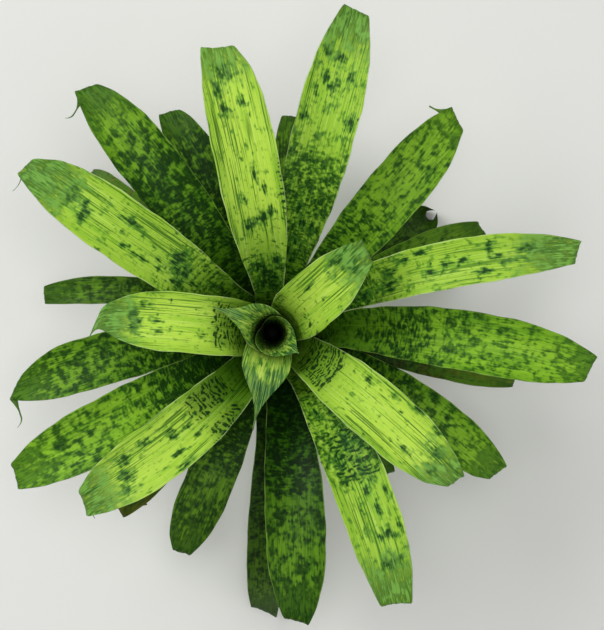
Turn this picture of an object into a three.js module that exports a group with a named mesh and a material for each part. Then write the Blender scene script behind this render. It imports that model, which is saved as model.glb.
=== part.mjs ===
// A living tank bromeliad with smudge-patterned leaves, picked and cut below its lowest leaf.
// Thirty strap leaves stand round a short tapering stem, each a golden-angle turn after the last:
// leaf 1 is the youngest, rolled into the cup at the heart, and leaf 30 the oldest and lowest.
// Millimetres, +Z up. The origin is the middle of the stem's cut end, which stands on the table.
import * as THREE from "three";

// Driving dimensions of the whole plant
const stemHeight = 134;
const stemRadius = 17; // at the cut end
const apexRadius = 3; // where the youngest leaf sits
const scarRidge = 0.6; // how far the scars of fallen leaves stand out below the lowest leaf
const lowestLeaf = 12; // height of the oldest leaf's foot
const internode = 4; // rise from one leaf's foot to the next
const turn = 139.3; // degrees round the stem from each leaf to the next older one
const firstHeading = 344.1; // degrees from +X, the youngest leaf's place in the spiral
const bladeThickness = 0.8;
const seatGap = 0.9; // between a leaf's foot and the stem
const foldLength = 14; // over which a leaf's end turns down
const tipWidth = 1.4; // at the very end
const walkStep = 2; // between the points worked out along a midrib

// Every leaf's outline, in shares of its length from the foot to the fold
const sheathEnd = 0.36; // where the sheath has narrowed to the neck
const widens = [0.22, 0.68]; // from the neck to the full width
const shoulder = 0.76; // where it starts to narrow towards the fold
const leansWithFold = [0.75, 0.95]; // where its lines across turn from square to the fold's skew
const roundsCorner = [0.93, 1.01]; // where the corner beside the fold rounds off
const flattens = [0.2, 0.6]; // from the sheath's tight hollow to the blade's shallow one
const sheathHollow = 0.45; // the tight hollow's radius, as a share of the blade's

// What most leaves share. Angles are in degrees and lengths in mm along the leaf. Shares of its
// length run from 0 at the foot to 1 at the fold, and shares of its width from 0 to 1.
const usual = {
  lean: 0, // the turn away from its place in the spiral
  sweep: 0, // how far it bends sideways, foot to fold
  bendFrom: 0.08, // shares between which it arches over
  bendTo: 1,
  clasp: 155, // how far round the stem its foot reaches
  letGo: [33, 119], // where the sheath leaves the cone round the stem and is a blade
  neck: 0.62, // share of the width, in the narrow place above the sheath
  foldWidth: 0.46, // likewise at the fold
  fold: 125, // how far the end is folded down and under
  hook: 0, // how far the end bends to the left, in its own plane
  skew: -22, // of the fold line from square
  corner: 0, // share of the width by which the corner beside the fold is rounded off
  tip: 30, // length of the narrow end past the fold
  taper: 1.6, // 1 narrows it evenly to its point, and more makes it hollow-sided
  channel: 42, // radius of the blade's hollow upper face
  roll: 42, // the same radius at the fold
  cells: 6, // across the blade
};

// The leaves from the youngest to the oldest, as measured from above: the length from foot to
// fold, the greatest width of the blade, and what sets each one apart.
const inTube = { bendFrom: 0.7, letGo: [84, 112], skew: 0, cells: 12 };
const innermost = { ...inTube, clasp: 290, neck: 1, foldWidth: 0.36, fold: 30, tip: 12 };
const wrapsTube = { ...inTube, clasp: 290, neck: 1.4, bendFrom: 0.8, foldWidth: 0.36, tip: 24 };
const longTipped = { ...inTube, clasp: 230, foldWidth: 0.9, fold: 50, tip: 46, taper: 2.2 };
const bentOut = { neck: 0.8, bendFrom: 0.45, foldWidth: 0.4, cells: 8 };
const curled = { ...bentOut, bendTo: 0.8, fold: 55, skew: -8, hook: 50, tip: 26 };
const twisted = { fold: 95, hook: 35, skew: -10 };
const rolledEnd = { foldWidth: 0.85, fold: 60, skew: 0, roll: 6, tip: 12, taper: 0.3 };
const leaves = [
  { ...innermost, length: 90, width: 60, rise: 84.5, droop: 75, lean: -18 },
  { ...wrapsTube, length: 102, width: 50, rise: 83.8, droop: 45, lean: 29, sweep: 14, fold: 35, skew: 20 },
  { ...longTipped, length: 93, width: 44, rise: 82.5, droop: 35, lean: -2, sweep: -4 },
  { ...bentOut, length: 206, width: 45, rise: 81.5, droop: 15, lean: -2, sweep: 6, skew: -15 },
  { ...curled, length: 193, width: 48, droop: 0, lean: -8, sweep: 8, bendFrom: 0.3, neck: 0.95 },
  { length: 251, width: 48, lean: 2, sweep: -16, foldWidth: 0.38, skew: -9, corner: 0.4 },
  { length: 301, width: 49, lean: -1.4, sweep: 13, neck: 0.45, foldWidth: 0.58, skew: -9, corner: 0.35 },
  { ...twisted, length: 258, width: 48, lean: -15.3, sweep: -30, foldWidth: 0.5, corner: 0.3 },
  { length: 322, width: 36, lean: -0.8, sweep: -35, skew: -16 },
  { ...twisted, length: 292, width: 50, lean: -13, sweep: 2, foldWidth: 0.4, corner: 0.4 },
  { length: 294, width: 45, lean: -0.2, sweep: -30, foldWidth: 0.51, skew: -7 },
  { length: 322, width: 49, lean: -1.3, neck: 0.46, foldWidth: 0.4, skew: -12 },
  { length: 280, width: 48, lean: -6.5, sweep: -4, foldWidth: 0.42, skew: -11, corner: 0.1 },
  { length: 306, width: 48, lean: -0.2, sweep: -23, foldWidth: 0.44, skew: -9, corner: 0.1 },
  { length: 289, width: 47, lean: -8, sweep: 8, foldWidth: 0.39, hook: 25, corner: 0.3 },
  { length: 270, width: 49, lean: 1.8, sweep: -14, foldWidth: 0.38, skew: -15 },
  { length: 263, width: 47, lean: -3.7, sweep: 1, foldWidth: 0.37, hook: 25, skew: -25 },
  { length: 244, width: 43, lean: -0.4, sweep: 20, foldWidth: 0.27, skew: -48 },
  { length: 244, width: 41, lean: -3.2, sweep: -24, foldWidth: 0.48, skew: -9, corner: 0.35 },
  { length: 222, width: 38, lean: 4, sweep: 12, skew: -15, corner: 0.2 },
  { length: 215, width: 41, lean: -3, sweep: 1, foldWidth: 0.38, skew: 9, corner: 0.25 },
  { length: 210, width: 36, lean: -3.5, sweep: -8, skew: 15 },
  { length: 212, width: 23, lean: 2.2, sweep: 38, foldWidth: 0.6, skew: -4 },
  { length: 158, width: 34 },
  { length: 192, width: 30, lean: -2, sweep: 8, foldWidth: 0.52, skew: -5 },
  { length: 208, width: 34, lean: 2 },
  { length: 218, width: 28, lean: -17, sweep: -6, skew: -5 },
  { length: 257, width: 28, droop: -64.5, lean: -4.5, sweep: 7, skew: -20 },
  { length: 278, width: 29, droop: -52.5, lean: -16.6, sweep: 3, foldWidth: 0.75, skew: -42 },
  { ...rolledEnd, length: 180, width: 34, droop: -50.9, lean: -27 },
].map((own, index) => ({
  index,
  rise: 84 - 1.4 * index, // the foot's slope above level
  droop: 8 - 1.1 * index, // the slope at the fold
  ...usual,
  ...own,
}));

const { smoothstep, degToRad, lerp, clamp } = THREE.MathUtils;

// The stem's radius at a height: nearly straight below, rounding in to the growing point.
function stemRadiusAt(height) {
  const share = clamp(height / stemHeight, 0, 1);
  return apexRadius + (stemRadius - apexRadius) * (1 - share ** 2.2) ** 0.8;
}

// Turned about the axis: a stub ringed with leaf scars, then the part that the sheaths hide.
function stem() {
  const facets = 24;
  const hiddenRings = 14;
  const outline = [new THREE.Vector2(0, 0), new THREE.Vector2(stemRadius, 0)];
  for (let scar = internode; scar < lowestLeaf; scar += internode)
    for (const [rise, ridge] of [[-scarRidge, 0], [0, scarRidge], [scarRidge, 0]])
      outline.push(new THREE.Vector2(stemRadiusAt(scar + rise) + ridge, scar + rise));
  for (let ring = 0; ring <= hiddenRings; ring++) {
    const height = lerp(lowestLeaf, stemHeight, ring / hiddenRings);
    outline.push(new THREE.Vector2(stemRadiusAt(height), height));
  }
  outline.push(new THREE.Vector2(0, stemHeight));
  return new THREE.LatheGeometry(outline, facets).rotateX(Math.PI / 2);
}

// Half of a leaf's width, measured across its own curve, at a distance s from its foot.
function halfWidth(leaf, s) {
  const share = s / leaf.length;
  const neck = leaf.neck * leaf.width;
  const rounding = clamp((share - shoulder) / (1 - shoulder), 0, 1);
  let width = lerp(leaf.foot, neck, smoothstep(share, 0, sheathEnd));
  width += (leaf.width - neck) * smoothstep(share, ...widens);
  width -= leaf.width * (1 - leaf.foldWidth) * rounding ** 2;
  if (share > 1) width *= Math.max(0, 1 - (s - leaf.length) / leaf.tip) ** leaf.taper;
  return Math.max(width, tipWidth) / 2;
}

// The directions along, across and up from the blade at s, which turn over at the fold.
function frameAt(leaf, s) {
  const share = s / leaf.length;
  const arch = smoothstep(share, leaf.bendFrom, leaf.bendTo);
  const slope = degToRad(lerp(leaf.rise, leaf.droop, arch));
  const heading = leaf.heading + degToRad(leaf.sweep * (share - 0.5));
  const level = new THREE.Vector3(Math.cos(heading), Math.sin(heading), 0);
  const along = level.clone().multiplyScalar(Math.cos(slope)).setZ(Math.sin(slope));
  const across = new THREE.Vector3(-Math.sin(heading), Math.cos(heading), 0);
  const crease = across.clone().addScaledVector(along, -Math.tan(degToRad(leaf.skew))).normalize();
  const up = along.clone().cross(across);
  const past = s - leaf.length;
  const hooked = degToRad(leaf.hook) * smoothstep(past, -foldLength, leaf.tip);
  const folded = degToRad(leaf.fold) * smoothstep(past, -foldLength / 2, foldLength / 2);
  for (const way of [along, across]) way.applyAxisAngle(up, hooked).applyAxisAngle(crease, folded);
  return { along, across, up: along.clone().cross(across) };
}

// Walks up the midrib from the foot, keeping a point every step, to a little past the tip.
function walkMidrib(leaf) {
  const footHeight = lowestLeaf + internode * (leaves.length - 1 - leaf.index);
  const spiral = firstHeading + turn * leaf.index + leaf.lean;
  leaf.heading = degToRad(spiral);
  const side = degToRad(spiral - leaf.sweep / 2);
  const radius = stemRadiusAt(footHeight) + seatGap + bladeThickness / 2;
  leaf.foot = degToRad(leaf.clasp) * radius;
  const point = new THREE.Vector3(Math.cos(side) * radius, Math.sin(side) * radius, footHeight);
  leaf.midrib = [point.clone()];
  for (let s = 0; s < leaf.length + leaf.tip + foldLength; s += walkStep) {
    point.addScaledVector(frameAt(leaf, s + walkStep / 2).along, walkStep);
    leaf.midrib.push(point.clone());
  }
}

function midribAt(leaf, s) {
  const place = Math.max(0, s / walkStep);
  const index = Math.min(Math.floor(place), leaf.midrib.length - 2);
  return leaf.midrib[index].clone().lerp(leaf.midrib[index + 1], place - index);
}

// A point of the leaf's skin: s from the foot, t from -1 to 1 across, and offset above its middle.
// The sheath is part of a cone round the stem. It passes smoothly into the hollow blade, whose
// lines across lean with the fold, so that the crease is straight and skewed.
function skinPoint(leaf, s, t, offset) {
  const share = s / leaf.length;
  const straightens = smoothstep(s, leaf.length, leaf.length + leaf.tip);
  const lean = smoothstep(share, ...leansWithFold) * (1 - straightens);
  const shift = (t * leaf.width * leaf.foldWidth * Math.tan(degToRad(leaf.skew)) * lean) / 2;
  const rounded = (leaf.corner * smoothstep(share, ...roundsCorner) * (1 - t)) / 2;
  const arc = t * halfWidth(leaf, s + shift) * (1 - rounded);
  const { along, across, up } = frameAt(leaf, s + shift);
  const hollow = leaf.channel * lerp(sheathHollow, 1, smoothstep(share, ...flattens));
  const radius = lerp(hollow, leaf.roll, smoothstep(share, shoulder, 1));
  const angle = arc / radius;
  const blade = midribAt(leaf, s + shift)
    .addScaledVector(along, -shift)
    .addScaledVector(across, (radius - offset) * Math.sin(angle))
    .addScaledVector(up, radius - (radius - offset) * Math.cos(angle));

  const middle = midribAt(leaf, s);
  const reach = Math.hypot(middle.x, middle.y);
  const round = Math.atan2(middle.y, middle.x) + arc / reach;
  const slope = Math.asin(frameAt(leaf, s).along.z);
  const out = reach - offset * Math.sin(slope);
  const height = middle.z + offset * Math.cos(slope);
  const sheath = new THREE.Vector3(Math.cos(round) * out, Math.sin(round) * out, height);
  return sheath.lerp(blade, smoothstep(s, ...leaf.letGo));
}

// Where the blade is cut into rows of facets: closer together at the foot and round the fold.
function rowsOf(leaf) {
  const foldStart = leaf.length - foldLength / 2;
  const rows = [0, 0.07, 0.16, 0.26, 0.38, 0.5, 0.63, 0.76, 0.88, 0.95].map((share) => share * foldStart);
  for (const share of [0, 0.3, 0.6, 1]) rows.push(foldStart + foldLength * share);
  for (const share of [0.6, 1]) rows.push(lerp(foldStart + foldLength, leaf.length + leaf.tip, share));
  return rows;
}

// One closed solid: the upper and lower skins, split into triangles alike, and the rim between.
function leafSolid(leaf) {
  walkMidrib(leaf);
  const rows = rowsOf(leaf);
  const columns = leaf.cells;
  const points = [];
  for (const offset of [bladeThickness / 2, -bladeThickness / 2])
    for (const s of rows)
      for (let column = 0; column <= columns; column++)
        points.push(...skinPoint(leaf, s, (2 * column) / columns - 1, offset).toArray());
  const upper = (row, column) => row * (columns + 1) + column;
  const lower = (row, column) => upper(row, column) + rows.length * (columns + 1);
  const faces = [];
  const quad = (a, b, c, d) => faces.push(a, b, c, a, c, d);
  const last = rows.length - 1;
  for (let row = 0; row < last; row++) {
    for (let column = 0; column < columns; column++) {
      quad(upper(row, column), upper(row + 1, column), upper(row + 1, column + 1), upper(row, column + 1));
      faces.push(lower(row, column), lower(row + 1, column + 1), lower(row + 1, column));
      faces.push(lower(row, column), lower(row, column + 1), lower(row + 1, column + 1));
    }
    quad(upper(row, 0), lower(row, 0), lower(row + 1, 0), upper(row + 1, 0));
    quad(upper(row, columns), upper(row + 1, columns), lower(row + 1, columns), lower(row, columns));
  }
  for (let column = 0; column < columns; column++) {
    quad(upper(0, column), upper(0, column + 1), lower(0, column + 1), lower(0, column));
    quad(upper(last, column), lower(last, column), lower(last, column + 1), upper(last, column + 1));
  }
  return new THREE.BufferGeometry()
    .setAttribute("position", new THREE.Float32BufferAttribute(points, 3))
    .setIndex(faces);
}

const plant = new THREE.Group();
const stemBark = new THREE.MeshStandardMaterial({ color: "#8a7a4a", roughness: 0.8, metalness: 0 });
const stemMesh = new THREE.Mesh(stem(), stemBark);
stemMesh.name = "stem";
plant.add(stemMesh);
const youngGreen = new THREE.Color("#a8cc4e");
const oldGreen = new THREE.Color("#456f26");
for (const leaf of leaves) {
  const color = youngGreen.clone().lerp(oldGreen, leaf.index / (leaves.length - 1));
  const skin = new THREE.MeshStandardMaterial({ color, roughness: 0.45, metalness: 0 });
  const mesh = new THREE.Mesh(leafSolid(leaf), skin);
  mesh.name = "leaf_" + String(leaf.index + 1).padStart(2, "0");
  plant.add(mesh);
}

export default plant;
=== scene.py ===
# A living tank bromeliad with smudge-patterned leaves, picked and stood on its cut stem.
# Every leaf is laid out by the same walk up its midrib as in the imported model, on a finer grid,
# and then gets what the model leaves out: ribs, a pinched end, a thin edge, a dry thread at its tip.
# The marks are noise, laid out in millimetres across and along each leaf.
# Lengths are in millimetres until the meshes are made, and angles in degrees, unless a note says so.
import math

import bpy
import numpy as np
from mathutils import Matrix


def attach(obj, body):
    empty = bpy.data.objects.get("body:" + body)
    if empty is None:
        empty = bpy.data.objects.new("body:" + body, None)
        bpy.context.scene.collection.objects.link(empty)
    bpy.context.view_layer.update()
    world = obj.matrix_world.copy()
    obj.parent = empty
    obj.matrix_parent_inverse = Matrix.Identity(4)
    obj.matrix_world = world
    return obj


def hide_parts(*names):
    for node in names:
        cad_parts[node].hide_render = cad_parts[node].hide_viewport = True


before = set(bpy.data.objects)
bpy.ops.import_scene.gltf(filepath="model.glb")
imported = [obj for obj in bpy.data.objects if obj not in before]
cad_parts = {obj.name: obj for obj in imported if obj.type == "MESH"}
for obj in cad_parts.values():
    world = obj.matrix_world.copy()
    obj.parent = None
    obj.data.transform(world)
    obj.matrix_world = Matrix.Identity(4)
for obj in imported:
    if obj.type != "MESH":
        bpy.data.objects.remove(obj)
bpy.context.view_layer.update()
millimetre = 0.001
fullTurn = 2 * math.pi
print("frame loaded,", len(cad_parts), "nodes")


# The whole plant

plant = {
    "stemHeight": 134,
    "stemRadius": 17,       # at the cut end
    "apexRadius": 3,        # where the youngest leaf sits
    "narrows": (2.2, 0.8),  # how late the stem starts to narrow, and how bluntly it then ends
    "lowestLeaf": 12,       # height of the oldest leaf's foot
    "internode": 4,         # rise from one leaf's foot to the next
    "turn": 139.3,          # round the stem from each leaf to the next older one
    "firstHeading": 344.1,  # the youngest leaf's place, from +X
    "rise": (84, -1.4),     # the youngest leaf's slope at its foot, and the change to the next one
    "droop": (8, -1.1),     # likewise at the fold
    "seatGap": 1.3,         # from the stem to the middle of a leaf's foot
    "foldLength": 14,       # over which a leaf's end turns down
    "tipWidth": 1.4,
    "walkStep": 2,          # between the points worked out along a midrib
}

# Every leaf's outline, in shares of its length from the foot to the fold
outline = {
    "sheathEnd": 0.36,              # where the sheath has narrowed to the neck
    "widens": (0.22, 0.68),         # from the neck to the full width
    "shoulder": 0.76,               # where it starts to narrow towards the fold
    "leansWithFold": (0.75, 0.95),  # where its lines across turn to the fold's skew
    "roundsCorner": (0.93, 1.01),   # where the corner beside the fold rounds off
    "flattens": (0.2, 0.6),         # from the sheath's tight hollow to the blade's shallow one
    "sheathHollow": 0.45,           # the tight hollow's radius, as a share of the blade's
}

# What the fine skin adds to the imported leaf
relief = {
    "thickest": 0.9,               # along the middle
    "thinnest": 0.3,               # just inside the edge
    "thinsFrom": 0.9,              # share of the length where it starts to thin towards the tip
    "tipThickness": 0.4,           # the share that is left of it there
    "rib": 0.13,                   # height of the shallow lengthwise ribs
    "ribSpacing": 5.2,
    "fineRib": 0.62,               # spacing of the lower ribs, as a share
    "unevenness": 0.45,            # slow dents and swells of the blade
    "dentLengths": (23, 13),       # along the leaf, to a radian of each wave
    "dentSlants": (1.3, 1.9, 2.1),  # in radians from the middle to an edge
    "edgeWave": 0.8,
    "edgeWaveLength": 34,
    "fadesPastFold": 8,            # over this much of the tip, ribs, dents and waves end
    "pinch": 0.9,                  # height of the keel that gathers at the fold
    "keelWidth": 2.6,
    "grooveDepth": 0.4,            # beside the keel, as a share of its height
    "groovePlace": 5.5,            # from the middle of the leaf
    "grooveWidth": 2.4,
    "keelFrom": 0.84,              # share of the length
    "keelPastFold": 16,
    "threadCurl": 1.4,             # how far a dry thread turns, in radians
    "threadTaper": 0.8,
    "threadEnd": 0.12,             # half of its width at the end
    "threadThickness": 0.2,        # half of it, in the middle
}

# How finely the skin is laid out
grid = {
    "rowStep": 2.4,         # between the rows along a leaf
    "foldRows": 1.6,        # round the fold there are this many times more
    "tipRows": 9,
    "shortestTip": 4,       # length that those rows take at least
    "edgeCrowding": 0.86,   # nearer to 1 the columns stand closer together at the edges
    "threadRows": 7,
}


def smoothStep(x, low, high):
    share = np.clip((x - low) / (high - low), 0, 1)
    return share * share * (3 - 2 * share)


def lerp(a, b, share):
    return a + (b - a) * share


def stemRadiusAt(height):
    share = np.clip(height / plant["stemHeight"], 0, 1)
    late, blunt = plant["narrows"]
    return lerp(plant["apexRadius"], plant["stemRadius"], (1 - share ** late) ** blunt)


# The leaf's walk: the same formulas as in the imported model, worked on whole grids of points

def halfWidth(leaf, s):  # measured across the leaf's own curve, at s from its foot
    share = s / leaf["length"]
    neck = leaf["neck"] * leaf["width"]
    rounding = np.clip((share - outline["shoulder"]) / (1 - outline["shoulder"]), 0, 1)
    width = lerp(leaf["foot"], neck, smoothStep(share, 0, outline["sheathEnd"]))
    width = width + (leaf["width"] - neck) * smoothStep(share, *outline["widens"])
    width = width - leaf["width"] * (1 - leaf["foldWidth"]) * rounding ** 2
    past = np.clip(1 - (s - leaf["length"]) / leaf["tip"], 0, 1) ** leaf["taper"]
    return np.maximum(width * past, plant["tipWidth"]) / 2


def turnAbout(axis, vectors, angle):
    cosine = np.cos(angle)[..., None]
    sine = np.sin(angle)[..., None]
    lengthwise = np.sum(axis * vectors, -1, keepdims=True)
    return vectors * cosine + np.cross(axis, vectors) * sine + axis * lengthwise * (1 - cosine)


def bladeFrame(leaf, s):  # the directions along, across and up from the blade
    share = s / leaf["length"]
    arch = smoothStep(share, leaf["bendFrom"], leaf["bendTo"])
    slope = np.radians(lerp(leaf["rise"], leaf["droop"], arch))
    heading = leaf["heading"] + np.radians(leaf["sweep"]) * (share - 0.5)
    level = np.cos(slope)
    along = np.stack([np.cos(heading) * level, np.sin(heading) * level, np.sin(slope)], -1)
    across = np.stack([-np.sin(heading), np.cos(heading), np.zeros_like(heading)], -1)
    crease = across - math.tan(math.radians(leaf["skew"])) * along
    crease = crease / np.linalg.norm(crease, axis=-1, keepdims=True)
    up = np.cross(along, across)
    past = s - leaf["length"]
    half = plant["foldLength"] / 2
    hooked = math.radians(leaf["hook"]) * smoothStep(past, -plant["foldLength"], leaf["tip"])
    folded = math.radians(leaf["fold"]) * smoothStep(past, -half, half)
    along = turnAbout(crease, turnAbout(up, along, hooked), folded)
    across = turnAbout(crease, turnAbout(up, across, hooked), folded)
    return along, across, np.cross(along, across)


def walkMidrib(leaf, leafCount):
    footHeight = plant["lowestLeaf"] + plant["internode"] * (leafCount - 1 - leaf["index"])
    spiral = plant["firstHeading"] + plant["turn"] * leaf["index"] + leaf["lean"]
    leaf["heading"] = math.radians(spiral)
    side = math.radians(spiral - leaf["sweep"] / 2)
    radius = stemRadiusAt(footHeight) + plant["seatGap"]
    leaf["foot"] = math.radians(leaf["clasp"]) * radius
    step = plant["walkStep"]
    stops = np.arange(0, leaf["length"] + leaf["tip"] + plant["foldLength"], step)
    along = bladeFrame(leaf, stops + step / 2)[0]
    start = np.array([math.cos(side) * radius, math.sin(side) * radius, footHeight])
    leaf["midrib"] = np.vstack([start, start + np.cumsum(along * step, 0)])


def midribAt(leaf, s):
    place = np.maximum(0, s / plant["walkStep"])
    index = np.minimum(np.floor(place).astype(int), len(leaf["midrib"]) - 2)
    return lerp(leaf["midrib"][index], leaf["midrib"][index + 1], (place - index)[..., None])


def skinPoints(leaf, s, t, offset):  # t runs from -1 to 1 across, and offset is above the middle
    share = s / leaf["length"]
    straightens = smoothStep(s, leaf["length"], leaf["length"] + leaf["tip"])
    lean = smoothStep(share, *outline["leansWithFold"]) * (1 - straightens)
    skew = math.tan(math.radians(leaf["skew"]))
    shift = t * leaf["width"] * leaf["foldWidth"] * skew * lean / 2
    rounded = leaf["corner"] * smoothStep(share, *outline["roundsCorner"]) * (1 - t) / 2
    arc = t * halfWidth(leaf, s + shift) * (1 - rounded)
    along, across, up = bladeFrame(leaf, s + shift)
    flat = smoothStep(share, *outline["flattens"])
    hollow = leaf["channel"] * lerp(outline["sheathHollow"], 1, flat)
    radius = lerp(hollow, leaf["roll"], smoothStep(share, outline["shoulder"], 1))
    angle = arc / radius
    sideways = (radius - offset) * np.sin(angle)
    upwards = radius - (radius - offset) * np.cos(angle)
    blade = midribAt(leaf, s + shift) - along * shift[..., None]
    blade = blade + across * sideways[..., None] + up * upwards[..., None]
    middle = midribAt(leaf, s)
    reach = np.hypot(middle[..., 0], middle[..., 1])
    turned = np.arctan2(middle[..., 1], middle[..., 0]) + arc / reach
    slope = np.arcsin(bladeFrame(leaf, s)[0][..., 2])
    out = reach - offset * np.sin(slope)
    height = middle[..., 2] + offset * np.cos(slope)
    sheath = np.stack([np.cos(turned) * out, np.sin(turned) * out, height], -1)
    return lerp(sheath, blade, smoothStep(s, *leaf["letGo"])[..., None])


# What the fine skin adds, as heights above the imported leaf's middle surface

def ribsAt(arc, phases):
    spacing = relief["ribSpacing"]
    ribs = np.sin(fullTurn * arc / spacing + phases[0])
    return ribs + 0.5 * np.sin(fullTurn * arc / (spacing * relief["fineRib"]) + phases[1])


def dentsAt(s, t, phases):
    longer, shorter = relief["dentLengths"]
    slant, crossSlant, backSlant = relief["dentSlants"]
    dents = np.sin(s / longer + phases[2] + slant * t) * np.cos(crossSlant * t + phases[3])
    return dents + 0.6 * np.sin(s / shorter + phases[4] - backSlant * t)


def edgeWavesAt(s, t, phases):  # each edge has a beat of its own
    beat = fullTurn * s / relief["edgeWaveLength"]
    left = np.sin(beat + phases[5]) + 0.5 * np.sin(1.7 * beat + phases[6])
    right = np.sin(0.9 * beat + phases[7]) + 0.5 * np.sin(2.1 * beat + phases[0])
    return np.where(t > 0, left, right) * np.abs(t) ** 4 * 0.6


def keelAt(leaf, s, arc):
    keel = np.exp(-(arc / relief["keelWidth"]) ** 2)
    beside = (np.abs(arc) - relief["groovePlace"]) / relief["grooveWidth"]
    keel = keel - relief["grooveDepth"] * np.exp(-beside ** 2)
    past = smoothStep(s, leaf["length"], leaf["length"] + relief["keelPastFold"])
    gathers = smoothStep(s / leaf["length"], relief["keelFrom"], 1) * (1 - past)
    return relief["pinch"] * leaf["pinched"] * keel * gathers


def swell(leaf, s, t, arc):
    draw = np.random.default_rng(leaf["index"] + 1)
    phases = draw.uniform(0, fullTurn, 8)
    fades = smoothStep(s, leaf["length"], leaf["length"] + relief["fadesPastFold"])
    free = smoothStep(s, *leaf["letGo"]) * (1 - fades)
    height = relief["rib"] * ribsAt(arc, phases) * (1 - t ** 6)
    height = height + relief["unevenness"] * dentsAt(s, t, phases) * (1 - t ** 2) * 0.5
    height = (height + relief["edgeWave"] * edgeWavesAt(s, t, phases)) * free
    return height + keelAt(leaf, s, arc)


def rowsOf(leaf):
    end = leaf["length"] + leaf["tip"]
    foldStart = leaf["length"] - plant["foldLength"]
    foldEnd = leaf["length"] + plant["foldLength"]
    tipStart = min(foldEnd, end - grid["shortestTip"])
    foldRows = int(grid["foldRows"] * (foldEnd - foldStart) / grid["rowStep"])
    blade = np.linspace(0, foldStart, int(foldStart / grid["rowStep"]))
    fold = np.linspace(foldStart, tipStart, foldRows)
    tip = np.linspace(tipStart, end, grid["tipRows"])
    return np.concatenate([blade[:-1], fold[:-1], tip])


def columnsOf(leaf):
    crowding = grid["edgeCrowding"]
    spread = np.linspace(-1, 1, leaf["columns"] + 1)
    return np.sin(spread * math.pi / 2 * crowding) / math.sin(math.pi / 2 * crowding)


def halfThickness(leaf, s, t):
    half = lerp(relief["thickest"], relief["thinnest"], np.abs(t) ** 3) / 2
    thins = smoothStep(s, leaf["length"] * relief["thinsFrom"], leaf["length"] + leaf["tip"])
    half = half * lerp(1, relief["tipThickness"], thins)
    return np.where(np.abs(t) > 0.999, 0, half)  # both skins meet at the edge


def addThread(leaf, s, t, upper, lower):
    # The dry thread that a leaf ends in: more rows past the tip, ever thinner, curling to one side
    if not leaf["thread"]:
        return upper, lower, s, t
    rows = grid["threadRows"]
    curl = relief["threadCurl"]
    tip = leaf["length"] + leaf["tip"]
    start = upper[-1].mean(0)
    along, across, up = (v[0] for v in bladeFrame(leaf, np.array([tip])))
    body = []
    for row in range(1, rows + 1):
        share = row / rows
        turned = curl * share
        middle = start + along * leaf["thread"] * math.sin(turned) / curl
        middle = middle + across * leaf["thread"] * (1 - math.cos(turned)) / curl
        width = plant["tipWidth"] / 2 * (1 - share) ** relief["threadTaper"] + relief["threadEnd"]
        sideways = across * math.cos(turned) - along * math.sin(turned)
        body.append(middle + sideways * t[-1][:, None] * width)
    body = np.array(body)
    thick = (1 - np.abs(t[-1][None, :, None])) * relief["threadThickness"]
    upper = np.concatenate([upper, body + up * thick])
    lower = np.concatenate([lower, body - up * thick])
    past = tip + np.linspace(0, 1, rows + 1)[1:] * leaf["thread"]
    s = np.concatenate([s, np.repeat(past[:, None], s.shape[1], 1)])
    t = np.concatenate([t, np.repeat(t[-1:], rows, 0)])
    return upper, lower, s, t


# Where the marks lie on a leaf: densities that the noise in its finish breaks up

markPlan = {
    "zoneEnds": 0.015,        # share of the length over which a zone starts or ends
    "zoneSides": 0.15,        # likewise across, where 1 is from the middle to an edge
    "smudgeFall": 0.75,       # more makes every smudge smaller
    "greenEnd": (0.11, 0.07),  # shares before and after its place where it starts and is full
    "undersideShade": 0.4,    # share of the shade that reaches the underside
    "leafApart": 37.0,        # from one leaf to the next in the noise, so that no two are alike
}


def softSpan(value, start, end, soft):  # 1 from start to end, and 0 beyond them
    rises = smoothStep(value, start - soft, start + soft)
    return rises * (1 - smoothStep(value, end - soft, end + soft))


def zoneDensity(zones, share, t):
    density = np.zeros_like(share)
    for start, end, lowSide, highSide, strength in zones:
        lengthwise = softSpan(share, start, end, markPlan["zoneEnds"])
        crosswise = softSpan(t, lowSide, highSide, markPlan["zoneSides"])
        density = np.maximum(density, strength * lengthwise * crosswise)
    return density


def smudgeDensity(leaf, s, arc):
    density = np.zeros_like(s)
    for share, side, length, width in leaf["smudges"]:
        middle = side * halfWidth(leaf, np.array(share * leaf["length"]))
        lengthwise = (s - share * leaf["length"]) / (length / 2)
        crosswise = (arc - middle) / (width / 2)
        fall = markPlan["smudgeFall"] * (lengthwise ** 2 + crosswise ** 2)
        density = np.maximum(density, np.exp(-fall))
    return density


def valueAlong(leaf, key, share):  # given at some shares of the length, and drawn between them
    at, values = zip(*leaf[key])
    return np.interp(share, at, values)


def markLayers(leaf, s, t):  # what the finish reads at each point, three values to a layer
    arc = t * halfWidth(leaf, s)
    share = s / leaf["length"]
    edge = halfWidth(leaf, s) - np.abs(arc)
    before, after = markPlan["greenEnd"]
    tipped = smoothStep(share, leaf["tipFrom"] - before, leaf["tipFrom"] + after)
    glyph = zoneDensity(leaf["glyphs"], share, t)
    lined = zoneDensity(leaf["lined"], share, t)
    layers = {
        "plan": (arc, s, np.full_like(s, markPlan["leafApart"] * leaf["index"])),
        "marks": (smudgeDensity(leaf, s, arc), glyph, valueAlong(leaf, "crowd", share)),
        "tone": (tipped, edge, valueAlong(leaf, "shade", share)),
        "state": (np.zeros_like(s), share, np.full_like(s, leaf["old"])),
        "lined": (lined, lined, lined),
    }
    return {key: np.stack(values, -1) for key, values in layers.items()}


def addLayers(mesh, layers, own):
    for key, values in layers.items():
        below = values[own]
        if key == "state":
            below[:, 0] = 1
        if key == "tone":
            below[:, 2] *= markPlan["undersideShade"]
        everyPoint = np.concatenate([values.reshape(-1, 3), below]).astype(np.float32)
        mesh.attributes.new(key, "FLOAT_VECTOR", "POINT").data.foreach_set("vector", everyPoint.ravel())


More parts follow.
